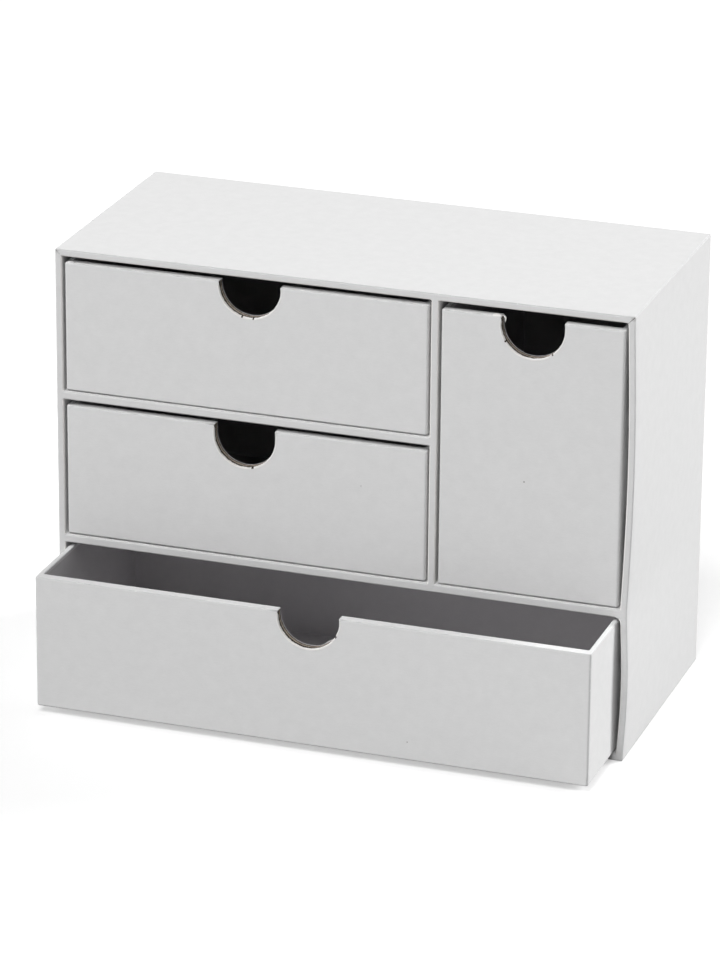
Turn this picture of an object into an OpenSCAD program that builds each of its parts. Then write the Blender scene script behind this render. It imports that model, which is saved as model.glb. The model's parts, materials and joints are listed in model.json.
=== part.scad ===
// Desktop mini drawers: a paper-covered board case with two wide drawers and one tall drawer
// above a full-width drawer. Every board and every covering paper is a piece of its own.

/* [Cells] */
// Clear width of the two wide cells on the left
wide_cell_w = 161.2; // [100:0.1:260]
// Clear width of the tall cell on the right
tall_cell_w = 79.6; // [50:0.1:160]
// Clear height of the bottom row
bottom_row_h = 60.7; // [35:0.1:120]
// Clear height of the middle row
middle_row_h = 60.6; // [35:0.1:120]
// Clear height of the top row
top_row_h = 59.3; // [35:0.1:120]
// Depth of the case, from its front edges to its back face
case_d = 115; // [80:1:220]

/* [Board and paper] */
// Thickness of the case's five outer boards
case_board_t = 2.5; // [1.5:0.1:5]
// Thickness of the board in the long and the short shelf
shelf_board_t = 3.2; // [1.5:0.1:5]
// Thickness of the board in the upright divider
divider_board_t = 2.7; // [1.5:0.1:5]
// Thickness of the board in the drawers' sides, backs and bases
drawer_board_t = 1.8; // [1:0.1:4]
// Thickness of each of the two plies in a drawer's front
front_ply_t = 1.95; // [1:0.05:4]
// Thickness of the covering paper, with its glue
paper_t = 0.25; // [0.15:0.01:0.5]
// How far the case's right side has bowed out beside the tall drawer, at its front edge
side_bow = 1.5; // [0.1:0.1:4]
// How far the case's right side has bowed out beside the bottom drawer, at its front edge
low_side_bow = 1.2; // [0.1:0.1:3]

/* [Drawer fit] */
// Gap on each side of a drawer in its cell
side_gap = 1.1; // [0.5:0.1:2.5]
// Gap under a drawer
under_gap = 0.5; // [0.2:0.05:1]
// Gap above the top and the middle drawer
over_gap = 2.7; // [0.5:0.1:4]
// Gap above the tall drawer
tall_over_gap = 3.6; // [0.5:0.1:5]
// Gap above the bottom drawer
bottom_over_gap = 1.8; // [0.5:0.1:4]
// Gap behind a closed drawer
behind_gap = 1.6; // [0.5:0.1:6]
// How far a closed front lies behind the case's front edges
front_recess = 0.4; // [0:0.1:3]
// How far the bottom drawer stands pulled out
bottom_open = 36.9; // [0:0.1:60]

/* [Thumb notches] */
// Radius of a notch's round end
notch_r = 13.4; // [8:0.1:16]
// Depth of the top drawer's notch above the centre of its round end
top_notch_drop = 1.2; // [0.5:0.1:6]
// Depth of the middle drawer's notch above the centre of its round end
middle_notch_drop = 4; // [0.5:0.1:6]
// Depth of the tall drawer's notch above the centre of its round end
tall_notch_drop = 3; // [0.5:0.1:6]
// Depth of the bottom drawer's notch above the centre of its round end
bottom_notch_drop = 1.6; // [0.5:0.1:6]
// How far the top drawer's notch was punched to the right of its front's middle
top_notch_aside = 2.2; // [0:0.1:6]

/* [Hidden] */
$fn = 96;

paper_colour = "white";
board_colour = "tan";
bow_steps = 16;
cut = 1;

// Walls with a paper on both faces
case_wall = case_board_t + 2 * paper_t;
shelf_t = shelf_board_t + 2 * paper_t;
divider_t = divider_board_t + 2 * paper_t;
drawer_wall = drawer_board_t + 2 * paper_t;
front_wall = 2 * front_ply_t + 2 * paper_t;

// The grid of cells, from the case's front bottom left corner
divider_x = case_wall + wide_cell_w;
tall_cell_x = divider_x + divider_t;
inner_right_x = tall_cell_x + tall_cell_w;
case_w = inner_right_x + case_wall;
long_shelf_z = case_wall + bottom_row_h;
middle_row_z = long_shelf_z + shelf_t;
short_shelf_z = middle_row_z + middle_row_h;
top_row_z = short_shelf_z + shelf_t;
inner_top_z = top_row_z + top_row_h;
case_h = inner_top_z + case_wall;
inner_back_y = case_d - case_wall;
board_back_y = case_d - paper_t;
drawer_d = inner_back_y - front_recess - behind_gap;

// A drawer: cell x, cell z, cell width, cell height, gap above, notch drop, notch aside,
// pulled out by
TOP = [case_wall, top_row_z, wide_cell_w, top_row_h, over_gap, top_notch_drop, top_notch_aside, 0];
MIDDLE = [case_wall, middle_row_z, wide_cell_w, middle_row_h, over_gap, middle_notch_drop, 0, 0];
TALL = [tall_cell_x, middle_row_z, tall_cell_w, inner_top_z - middle_row_z, tall_over_gap,
        tall_notch_drop, 0, 0];
BOTTOM = [case_wall, case_wall, inner_right_x - case_wall, bottom_row_h, bottom_over_gap,
          bottom_notch_drop, 0, bottom_open];
function drawer_w(c) = c[2] - 2 * side_gap;
function drawer_h(c) = c[3] - under_gap - c[4];

// How far the right side stands out at depth y and height z: most at the front and midway up
// each cell, nothing at its back edge, the bottom, the shelf and the top
function wave(z, low, high) = z <= low || z >= high ? 0 : sin(180 * (z - low) / (high - low));
function bow(y, z) =
    (1 - y / board_back_y) * (side_bow * wave(z, middle_row_z, inner_top_z)
                              + low_side_bow * wave(z, case_wall, long_shelf_z));

// Moves a piece from the corner's measures to the origin under the middle of the case
module stand() {
    translate([-case_w / 2, -case_d / 2, 0]) children();
}

// A flat panel from its lowest corner to its highest
module panel(low, high) {
    translate(low) cube(high - low);
}

// An upright piece of the right side, drawn as an outline seen from above and bowed with its
// height. The outline runs anticlockwise, from a corner that sees all the others.
module bowed_piece(outline, low_z, high_z) {
    zs = concat([low_z],
                [for (i = [0:bow_steps]) case_wall + bottom_row_h * i / bow_steps],
                [for (i = [0:bow_steps]) middle_row_z + (inner_top_z - middle_row_z) * i / bow_steps],
                [high_z]);
    n = len(outline);
    last = len(zs) - 1;
    points = [for (z = zs, p = outline) [p[0] + bow(p[1], z), p[1], z]];
    // One strip of the wall above outline edge k, between heights i and i + 1, as two triangles
    // whose shared side always climbs towards the back, so that touching pieces match
    function strip(k, i) =
        let (a = i * n + k, b = a + n, d = i * n + (k + 1) % n, c = d + n)
        outline[k][1] <= outline[(k + 1) % n][1] ? [[a, b, c], [a, c, d]] : [[a, b, d], [b, c, d]];
    polyhedron(points, concat(
        [for (k = [1:n - 2]) [0, k, k + 1]],
        [for (k = [1:n - 2]) [last * n, last * n + k + 1, last * n + k]],
        [for (i = [0:last - 1], k = [0:n - 1], triangle = strip(k, i)) triangle]
    ));
}

// A paper folded round the front edge of a shelf: over its top, its edge and its underside
module shelf_paper(low, high) {
    difference() {
        panel(low, high);
        panel(low + [-cut, paper_t, paper_t], high + [cut, cut, -paper_t]);
    }
}

/* The case */

module case_top_board() {
    color(board_colour) stand()
        panel([paper_t, paper_t, inner_top_z + paper_t],
              [case_w - paper_t, board_back_y, case_h - paper_t]);
}

module case_bottom_board() {
    color(board_colour) stand()
        panel([paper_t, paper_t, paper_t],
              [case_w - paper_t, board_back_y, case_wall - paper_t]);
}

module case_left_board() {
    color(board_colour) stand()
        panel([paper_t, paper_t, case_wall - paper_t],
              [case_wall - paper_t, board_back_y, inner_top_z + paper_t]);
}

module case_right_board() {
    inner = inner_right_x + paper_t;
    outer = case_w - paper_t;
    color(board_colour) stand()
        bowed_piece([[inner, paper_t], [outer, paper_t], [outer, board_back_y], [inner, board_back_y]],
                    case_wall - paper_t, inner_top_z + paper_t);
}

module case_back_board() {
    color(board_colour) stand()
        panel([case_wall - paper_t, inner_back_y + paper_t, case_wall - paper_t],
              [inner_right_x + paper_t, board_back_y, inner_top_z + paper_t]);
}

// One sheet over the left side, the top and the right side, turned in over their front edges
module case_wrap_paper() {
    inner = inner_right_x + paper_t;
    outer = case_w - paper_t;
    under_top = case_h - paper_t;
    color(paper_colour) stand() {
        panel([0, 0, paper_t], [paper_t, board_back_y, under_top]);
        panel([paper_t, 0, paper_t], [case_wall - paper_t, paper_t, under_top]);
        panel([0, 0, under_top], [case_w, board_back_y, case_h]);
        panel([case_wall - paper_t, 0, inner_top_z + paper_t], [inner, paper_t, under_top]);
        bowed_piece([[outer, paper_t], [inner, paper_t], [inner, 0], [case_w, 0],
                     [case_w, board_back_y], [outer, board_back_y]],
                    paper_t, under_top);
    }
}

// The sheet under the base, turned up over its front edge
module case_base_paper() {
    color(paper_colour) stand() {
        panel([0, 0, 0], [case_w, board_back_y, paper_t]);
        panel([case_wall - paper_t, 0, paper_t],
              [inner_right_x + paper_t, paper_t, case_wall - paper_t]);
    }
}

module case_back_paper() {
    color(paper_colour) stand()
        panel([0, board_back_y, 0], [case_w, case_d, case_h]);
}

// The paper on the inner faces of the sides, top, bottom and back
module case_lining_paper() {
    low = case_wall - paper_t;
    outer = inner_right_x + paper_t;
    color(paper_colour) stand() {
        panel([low, 0, low], [case_wall, inner_back_y, inner_top_z + paper_t]);
        bowed_piece([[inner_right_x, 0], [outer, 0], [outer, inner_back_y],
                     [inner_right_x, inner_back_y]],
                    low, inner_top_z + paper_t);
        panel([case_wall, 0, inner_top_z], [inner_right_x, inner_back_y, inner_top_z + paper_t]);
        panel([case_wall, 0, low], [inner_right_x, inner_back_y, case_wall]);
        panel([low, inner_back_y, low], [outer, inner_back_y + paper_t, inner_top_z + paper_t]);
    }
}

module long_shelf_board() {
    color(board_colour) stand()
        panel([case_wall, paper_t, long_shelf_z + paper_t],
              [inner_right_x, inner_back_y, middle_row_z - paper_t]);
}

module long_shelf_paper() {
    color(paper_colour) stand()
        shelf_paper([case_wall, 0, long_shelf_z], [inner_right_x, inner_back_y, middle_row_z]);
}

module divider_board() {
    color(board_colour) stand()
        panel([divider_x + paper_t, paper_t, middle_row_z],
              [tall_cell_x - paper_t, inner_back_y, inner_top_z]);
}

// The paper on the divider's left face, front edge and right face
module divider_paper() {
    color(paper_colour) stand()
        difference() {
            panel([divider_x, 0, middle_row_z], [tall_cell_x, inner_back_y, inner_top_z]);
            panel([divider_x + paper_t, paper_t, middle_row_z - cut],
                  [tall_cell_x - paper_t, inner_back_y + cut, inner_top_z + cut]);
        }
}

module short_shelf_board() {
    color(board_colour) stand()
        panel([case_wall, paper_t, short_shelf_z + paper_t],
              [divider_x, inner_back_y, top_row_z - paper_t]);
}

module short_shelf_paper() {
    color(paper_colour) stand()
        shelf_paper([case_wall, 0, short_shelf_z], [divider_x, inner_back_y, top_row_z]);
}

/* The drawers' pieces, each from its drawer's front bottom left corner */

// Puts a piece in its drawer's place in the case
module in_cell(c) {
    stand() translate([c[0] + side_gap, front_recess - c[7], c[1] + under_gap]) children();
}

// The thumb notch at the top of the front, cut from the front face through the whole front
module notch(c) {
    depth = front_wall + 2 * cut;
    translate([drawer_w(c) / 2 + c[6], -cut, drawer_h(c) - c[5]]) {
        rotate([-90, 0, 0]) cylinder(r = notch_r, h = depth);
        translate([-notch_r, 0, 0]) cube([2 * notch_r, depth, c[5] + cut]);
    }
}

// The outer ply of the front, over the full width and height
module front_board(c) {
    color(board_colour) in_cell(c)
        difference() {
            panel([paper_t, paper_t, paper_t],
                  [drawer_w(c) - paper_t, paper_t + front_ply_t, drawer_h(c) - paper_t]);
            notch(c);
        }
}

// The inner ply of the front, between the sides and above the base
module front_backing_board(c) {
    side = drawer_wall - paper_t;
    color(board_colour) in_cell(c)
        difference() {
            panel([side, paper_t + front_ply_t, side],
                  [drawer_w(c) - side, front_wall - paper_t, drawer_h(c) - paper_t]);
            notch(c);
        }
}

// A side board whose outer face is at distance x from the drawer's left face
module side_board(c, x) {
    color(board_colour) in_cell(c)
        panel([x, paper_t + front_ply_t, drawer_wall - paper_t],
              [x + drawer_board_t, drawer_d - drawer_wall + paper_t, drawer_h(c) - paper_t]);
}

module left_board(c) {
    side_board(c, paper_t);
}

module right_board(c) {
    side_board(c, drawer_w(c) - paper_t - drawer_board_t);
}

module back_board(c) {
    color(board_colour) in_cell(c)
        panel([paper_t, drawer_d - drawer_wall + paper_t, drawer_wall - paper_t],
              [drawer_w(c) - paper_t, drawer_d - paper_t, drawer_h(c) - paper_t]);
}

module base_board(c) {
    color(board_colour) in_cell(c)
        panel([paper_t, paper_t + front_ply_t, paper_t],
              [drawer_w(c) - paper_t, drawer_d - paper_t, drawer_wall - paper_t]);
}

// The paper on the drawer's outside, turned over the top edges of its walls
module cover_paper(c) {
    w = drawer_w(c);
    h = drawer_h(c);
    color(paper_colour) in_cell(c)
        difference() {
            panel([0, 0, 0], [w, drawer_d, h]);
            panel([paper_t, paper_t, paper_t], [w - paper_t, drawer_d - paper_t, h - paper_t]);
            panel([drawer_wall - paper_t, front_wall - paper_t, paper_t],
                  [w - drawer_wall + paper_t, drawer_d - drawer_wall + paper_t, h + cut]);
            notch(c);
        }
}

// The paper on the drawer's inside
module lining_paper(c) {
    w = drawer_w(c);
    h = drawer_h(c);
    color(paper_colour) in_cell(c)
        difference() {
            panel([drawer_wall - paper_t, front_wall - paper_t, drawer_wall - paper_t],
                  [w - drawer_wall + paper_t, drawer_d - drawer_wall + paper_t, h]);
            panel([drawer_wall, front_wall, drawer_wall],
                  [w - drawer_wall, drawer_d - drawer_wall, h + cut]);
            notch(c);
        }
}

/* The drawers */

module top_drawer_front_board() { front_board(TOP); }
module top_drawer_front_backing_board() { front_backing_board(TOP); }
module top_drawer_left_board() { left_board(TOP); }
module top_drawer_right_board() { right_board(TOP); }
module top_drawer_back_board() { back_board(TOP); }
module top_drawer_base_board() { base_board(TOP); }
module top_drawer_cover_paper() { cover_paper(TOP); }
module top_drawer_lining_paper() { lining_paper(TOP); }

module middle_drawer_front_board() { front_board(MIDDLE); }
module middle_drawer_front_backing_board() { front_backing_board(MIDDLE); }
module middle_drawer_left_board() { left_board(MIDDLE); }
module middle_drawer_right_board() { right_board(MIDDLE); }
module middle_drawer_back_board() { back_board(MIDDLE); }
module middle_drawer_base_board() { base_board(MIDDLE); }
module middle_drawer_cover_paper() { cover_paper(MIDDLE); }
module middle_drawer_lining_paper() { lining_paper(MIDDLE); }

module tall_drawer_front_board() { front_board(TALL); }
module tall_drawer_front_backing_board() { front_backing_board(TALL); }
module tall_drawer_left_board() { left_board(TALL); }
module tall_drawer_right_board() { right_board(TALL); }
module tall_drawer_back_board() { back_board(TALL); }
module tall_drawer_base_board() { base_board(TALL); }
module tall_drawer_cover_paper() { cover_paper(TALL); }
module tall_drawer_lining_paper() { lining_paper(TALL); }

module bottom_drawer_front_board() { front_board(BOTTOM); }
module bottom_drawer_front_backing_board() { front_backing_board(BOTTOM); }
module bottom_drawer_left_board() { left_board(BOTTOM); }
module bottom_drawer_right_board() { right_board(BOTTOM); }
module bottom_drawer_back_board() { back_board(BOTTOM); }
module bottom_drawer_base_board() { base_board(BOTTOM); }
module bottom_drawer_cover_paper() { cover_paper(BOTTOM); }
module bottom_drawer_lining_paper() { lining_paper(BOTTOM); }

case_top_board();
case_bottom_board();
case_left_board();
case_right_board();
case_back_board();
case_wrap_paper();
case_base_paper();
case_back_paper();
case_lining_paper();
long_shelf_board();
long_shelf_paper();
divider_board();
divider_paper();
short_shelf_board();
short_shelf_paper();
top_drawer_front_board();
top_drawer_front_backing_board();
top_drawer_left_board();
top_drawer_right_board();
top_drawer_back_board();
top_drawer_base_board();
top_drawer_cover_paper();
top_drawer_lining_paper();
middle_drawer_front_board();
middle_drawer_front_backing_board();
middle_drawer_left_board();
middle_drawer_right_board();
middle_drawer_back_board();
middle_drawer_base_board();
middle_drawer_cover_paper();
middle_drawer_lining_paper();
tall_drawer_front_board();
tall_drawer_front_backing_board();
tall_drawer_left_board();
tall_drawer_right_board();
tall_drawer_back_board();
tall_drawer_base_board();
tall_drawer_cover_paper();
tall_drawer_lining_paper();
bottom_drawer_front_board();
bottom_drawer_front_backing_board();
bottom_drawer_left_board();
bottom_drawer_right_board();
bottom_drawer_back_board();
bottom_drawer_base_board();
bottom_drawer_cover_paper();
bottom_drawer_lining_paper();
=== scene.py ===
import json
import math
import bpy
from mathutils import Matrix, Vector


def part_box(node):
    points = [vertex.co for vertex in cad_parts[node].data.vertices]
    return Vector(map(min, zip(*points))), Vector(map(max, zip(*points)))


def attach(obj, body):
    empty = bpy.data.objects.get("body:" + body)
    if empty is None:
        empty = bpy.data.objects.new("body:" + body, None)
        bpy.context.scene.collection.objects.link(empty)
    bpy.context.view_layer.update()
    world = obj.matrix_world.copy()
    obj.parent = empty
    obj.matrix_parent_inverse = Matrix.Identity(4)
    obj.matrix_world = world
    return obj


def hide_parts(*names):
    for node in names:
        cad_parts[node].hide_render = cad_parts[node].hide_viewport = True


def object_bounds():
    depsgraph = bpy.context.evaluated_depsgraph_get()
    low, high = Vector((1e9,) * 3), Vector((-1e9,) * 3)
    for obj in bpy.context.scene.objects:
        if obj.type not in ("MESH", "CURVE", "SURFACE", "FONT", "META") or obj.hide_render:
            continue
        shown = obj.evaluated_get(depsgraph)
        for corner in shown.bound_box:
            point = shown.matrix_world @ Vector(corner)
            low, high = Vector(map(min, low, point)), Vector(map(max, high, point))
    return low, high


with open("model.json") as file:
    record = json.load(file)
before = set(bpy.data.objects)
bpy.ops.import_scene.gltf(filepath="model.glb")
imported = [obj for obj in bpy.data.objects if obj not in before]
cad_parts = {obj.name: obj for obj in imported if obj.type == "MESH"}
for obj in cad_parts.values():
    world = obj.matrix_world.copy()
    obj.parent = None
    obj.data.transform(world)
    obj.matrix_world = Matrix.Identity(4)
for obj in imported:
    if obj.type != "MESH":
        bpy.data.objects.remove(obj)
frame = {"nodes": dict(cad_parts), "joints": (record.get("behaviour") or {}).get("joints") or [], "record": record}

from types import SimpleNamespace

import bmesh
import bpy
from mathutils import Quaternion, Vector, noise
from mathutils.geometry import interpolate_bezier

mm = 0.001
cad_low, cad_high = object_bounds()


# Camera. A long lens about two metres away looks down on the front and the right side, so that
# the upright edges stay almost upright.
camera_place = Vector((0.6191, -1.8432, 0.8313))
camera_azimuth = math.radians(-18.849)
camera_elevation = math.radians(20.940)
camera_roll = math.radians(-0.517)
camera_data = bpy.data.cameras.new("camera")
camera_data.lens = 183.93
camera_data.sensor_width = 36
camera = bpy.data.objects.new("camera", camera_data)
camera_forward = Vector((
    math.sin(camera_azimuth) * math.cos(camera_elevation),
    math.cos(camera_azimuth) * math.cos(camera_elevation),
    -math.sin(camera_elevation),
))
camera.rotation_mode = "QUATERNION"
camera.rotation_quaternion = camera_forward.to_track_quat("-Z", "Y") @ Quaternion((0, 0, 1), -camera_roll)
camera.location = camera_place
bpy.context.scene.collection.objects.link(camera)
bpy.context.scene.camera = camera
bpy.context.scene.view_settings.view_transform = "Standard"


# Table and light. A white table top in a dim studio. Large lamps stand far off, so that every front
# gets the same light: one high in front and one on the left for the fronts, and one behind on the
# right for the side and the top.
def node(tree, kind, inputs=None, **settings):
    """Adds a node with its settings. An input takes a value, or another node's output as a link."""
    made = tree.nodes.new(kind)
    for name, value in settings.items():
        setattr(made, name, value)
    for name, value in (inputs or {}).items():
        if isinstance(value, bpy.types.NodeSocket):
            tree.links.new(value, made.inputs[name])
        else:
            made.inputs[name].default_value = value
    return made


def calculated(tree, operation, *values):
    """The result of a sum on values."""
    return node(tree, "ShaderNodeMath", dict(enumerate(values)), operation=operation).outputs[0]


def ranged(tree, value, low, high, to_low, to_high):
    """A value moved from one range to another, and held within it."""
    return node(tree, "ShaderNodeMapRange", {
        "Value": value, "From Min": low, "From Max": high, "To Min": to_low, "To Max": to_high}).outputs[0]


def noisy(tree, place, scale, detail, roughness=0.5, distortion=0.0):
    """The value of a noise at a place."""
    return node(tree, "ShaderNodeTexNoise", {
        "Vector": place, "Scale": scale, "Detail": detail, "Roughness": roughness,
        "Distortion": distortion}).outputs["Fac"]


def mixed(tree, share, first, second):
    """A colour between two colours."""
    return node(tree, "ShaderNodeMix", {0: share, 6: first, 7: second}, data_type="RGBA").outputs[2]


def linear(code):
    """An sRGB hex colour as the linear colour that a socket takes."""
    parts = [int(code[i:i + 2], 16) / 255 for i in (1, 3, 5)]
    return (*[c / 12.92 if c <= 0.04045 else ((c + 0.055) / 1.055) ** 2.4 for c in parts], 1)


def material(name):
    """An empty node material and its tree."""
    made = bpy.data.materials.new(name)
    made.use_nodes = True
    made.node_tree.nodes.clear()
    return made, made.node_tree


table_reach = 4.0
table_lift = 0.46
table_material, tree = material("white_table")
ray = node(tree, "ShaderNodeLightPath")
table_tone = mixed(tree, ray.outputs["Is Camera Ray"], linear("#b8b8b8"), linear("#d8d8d8"))
table_paint = node(tree, "ShaderNodeBsdfDiffuse", {"Color": table_tone})
seen = calculated(tree, "MULTIPLY", ray.outputs["Is Camera Ray"], table_lift)
table_glow = node(tree, "ShaderNodeEmission", {"Color": (1, 1, 1, 1), "Strength": seen})
table_sum = node(tree, "ShaderNodeAddShader", {0: table_glow.outputs[0], 1: table_paint.outputs[0]})
node(tree, "ShaderNodeOutputMaterial", {"Surface": table_sum.outputs[0]})
table_mesh = bpy.data.meshes.new("table")
table_mesh.from_pydata(
    [(x * table_reach, y * table_reach, cad_low.z) for x, y in ((-1, -1), (1, -1), (1, 1), (-1, 1))],
    [], [(0, 1, 2, 3)])
table_mesh.materials.append(table_material)
table = bpy.data.objects.new("table", table_mesh)
bpy.context.scene.collection.objects.link(table)

room_strength = 0.03
world = bpy.data.worlds.new("room")
bpy.context.scene.world = world
world.use_nodes = True
tree = world.node_tree
tree.nodes.clear()
ray = node(tree, "ShaderNodeLightPath")
direct = calculated(tree, "MAXIMUM", ray.outputs["Is Camera Ray"], ray.outputs["Is Glossy Ray"])
clear = calculated(tree, "MAXIMUM", direct, ray.outputs["Is Transmission Ray"])
room_light = node(tree, "ShaderNodeBackground", {"Color": (1, 1, 1, 1), "Strength": room_strength})
room_white = node(tree, "ShaderNodeBackground", {"Color": (1, 1, 1, 1), "Strength": 1.0})
room_mix = node(tree, "ShaderNodeMixShader",
                {0: clear, 1: room_light.outputs[0], 2: room_white.outputs[0]})
node(tree, "ShaderNodeOutputWorld", {"Surface": room_mix.outputs[0]})

lamp_aim = Vector((0, -0.02, 0.09))
lamp_distance = 5.0
lamp_width = 2.0
for name, azimuth, elevation, power in (("lamp_front", 0, 55, 160), ("lamp_left", -60, 20, 86),
                                        ("lamp_right", 130, 25, 246)):
    turn, rise = math.radians(azimuth), math.radians(elevation)
    away = Vector((math.sin(turn) * math.cos(rise), -math.cos(turn) * math.cos(rise), math.sin(rise)))
    lamp_data = bpy.data.lights.new(name, "AREA")
    lamp_data.size = lamp_width
    lamp_data.energy = power
    lamp = bpy.data.objects.new(name, lamp_data)
    lamp.location = lamp_aim + away * lamp_distance
    lamp.rotation_mode = "QUATERNION"
    lamp.rotation_quaternion = (-away).to_track_quat("-Z", "Y")
    bpy.context.scene.collection.objects.link(lamp)


# Boards. Grey recycled board, cut to size and glued edge to edge. Cutting and covering crush
# their edges round, so each hidden board is its flat panel with softened edges.
def greyboard_material():
    """Greyboard: pulp of waste paper pressed in plies. The cut edge is brown and streaky, with
    pale and dark fibres, and a darker line of glue where the two plies of a front meet. Its front ply,
    under the pressed lip, and its back end, deep in the notch, are painted darker still: partly
    crushed board, partly painted shade."""
    made, tree = material("greyboard")
    place = node(tree, "ShaderNodeTexCoord").outputs["Object"]
    streaks = node(tree, "ShaderNodeMapping", {
        "Vector": place, "Scale": (1 / (1.4 * mm), 1 / (0.16 * mm), 1 / (1.4 * mm))})
    ply_streak = noisy(tree, streaks.outputs[0], 1.0, 4.0, 0.6)
    fleck = noisy(tree, place, 1 / (0.35 * mm), 3.0, 0.7)
    depth = node(tree, "ShaderNodeAttribute", attribute_name="depth")
    across = calculated(tree, "DIVIDE", depth.outputs["Fac"], front_wall)
    ply_tone_and_shade = node(tree, "ShaderNodeValToRGB", {"Fac": across})
    stops = ply_tone_and_shade.color_ramp.elements
    glue = glue_depth / front_wall
    # The dark stops at the front ply and at the back end are partly crushed board and partly painted shade, under
    # the lip and deep in the notch.
    stops[0].position, stops[0].color = 0.06, linear("#3d2e24")
    stops[1].position, stops[1].color = 0.97, linear("#2a221d")
    for at, code in ((glue - 0.09, "#2e221a"), (glue, "#1e1611"), (glue + 0.08, "#8f8377"),
                     (glue + 0.14, "#b9ad9f"), (glue + 0.24, "#a99c8f"), (glue + 0.31, "#4c4139")):
        stop = stops.new(at)
        stop.color = linear(code)
    streaky = ranged(tree, ply_streak, 0.34, 0.68, 0.45, 1.5)
    flecked = ranged(tree, fleck, 0.35, 0.65, 0.68, 1.3)
    shade = calculated(tree, "MULTIPLY", streaky, flecked)
    tone = node(tree, "ShaderNodeVectorMath", {0: ply_tone_and_shade.outputs["Color"], "Scale": shade},
                operation="SCALE")
    rough_height = calculated(tree, "ADD", ply_streak, fleck)
    relief = node(tree, "ShaderNodeBump", {"Height": rough_height, "Strength": 0.8, "Distance": 0.12 * mm})
    surface = node(tree, "ShaderNodeBsdfPrincipled", {
        "Base Color": tone.outputs[0], "Roughness": 0.95, "IOR": 1.45, "Normal": relief.outputs[0]})
    node(tree, "ShaderNodeOutputMaterial", {"Surface": surface.outputs[0]})
    return made


def add_object(name, mesh, finish=None):
    """A new object round a mesh, with one material."""
    made = bpy.data.objects.new(name, mesh)
    bpy.context.scene.collection.objects.link(made)
    if finish:
        mesh.materials.clear()
        mesh.materials.append(finish)
    return made


def mesh_from(shape, name):
    """Turns a finished bmesh into a mesh."""
    mesh = bpy.data.meshes.new(name)
    shape.to_mesh(mesh)
    shape.free()
    return mesh


def mesh_of(faces, name, merge=0.0):
    """A mesh of faces, each a list of points. Points closer than the merge distance become one."""
    shape = bmesh.new()
    for face in faces:
        shape.faces.new([shape.verts.new(point) for point in face])
    if merge:
        bmesh.ops.remove_doubles(shape, verts=shape.verts, dist=merge)
    return mesh_from(shape, name)


def mark_points(mesh, name, values):
    """Gives each point of a mesh a value that its material reads."""
    mesh.attributes.new(name, "FLOAT", "POINT").data.foreach_set("value", values)


def remove(spent):
    """Removes an object that has done its work, and its mesh."""
    mesh = spent.data
    bpy.data.objects.remove(spent)
    bpy.data.meshes.remove(mesh)


flat_enough = 0.9998


def settle(piece):
    """Turns a piece's modifiers into plain mesh. Faces square to the axes stay flat, others smooth."""
    graph = bpy.context.evaluated_depsgraph_get()
    graph.update()
    solid = bpy.data.meshes.new_from_object(piece.evaluated_get(graph))
    piece.modifiers.clear()
    spent = piece.data
    piece.data = solid
    bpy.data.meshes.remove(spent)
    solid.name = piece.name
    for face in solid.polygons:
        face.use_smooth = max(abs(part) for part in face.normal) < flat_enough
    return piece


def hand_over(piece, body, slot, *nodes):
    """The piece rides on a body and stands for CAD nodes, which it hides; its slot is not used."""
    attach(piece, body)
    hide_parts(*nodes)


def soften(piece, width):
    """Rounds a board's crushed edges."""
    bevel = piece.modifiers.new("crushed_edges", "BEVEL")
    bevel.width = width
    bevel.segments = 3
    bevel.limit_method = "ANGLE"
    bevel.angle_limit = math.radians(60)


drawers = [name[:-len("_slide")] for name in (joint["name"] for joint in frame["joints"])]
front_ply_low, front_ply_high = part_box("top_drawer_front_board")
front_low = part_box("top_drawer_cover_paper")[0]
paper = front_ply_low.y - front_low.y
glue_depth = front_ply_high.y - front_low.y
front_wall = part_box("top_drawer_front_backing_board")[1].y + paper - front_low.y
crushed = 0.65 * mm
greyboard = greyboard_material()
for body, nodes in frame["record"]["behaviour"]["bodies"].items():
    for name in nodes:
        if not name.endswith("_board") or "_front_" in name:
            continue
        shape = bmesh.new()
        shape.from_mesh(frame["nodes"][name].data)
        bmesh.ops.remove_doubles(shape, verts=shape.verts, dist=0.001 * mm)
        board = add_object(name.replace("_board", "_greyboard"), mesh_from(shape, name), greyboard)
        soften(board, crushed)
        settle(board)
        hand_over(board, body, "greyboard", name)


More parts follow.
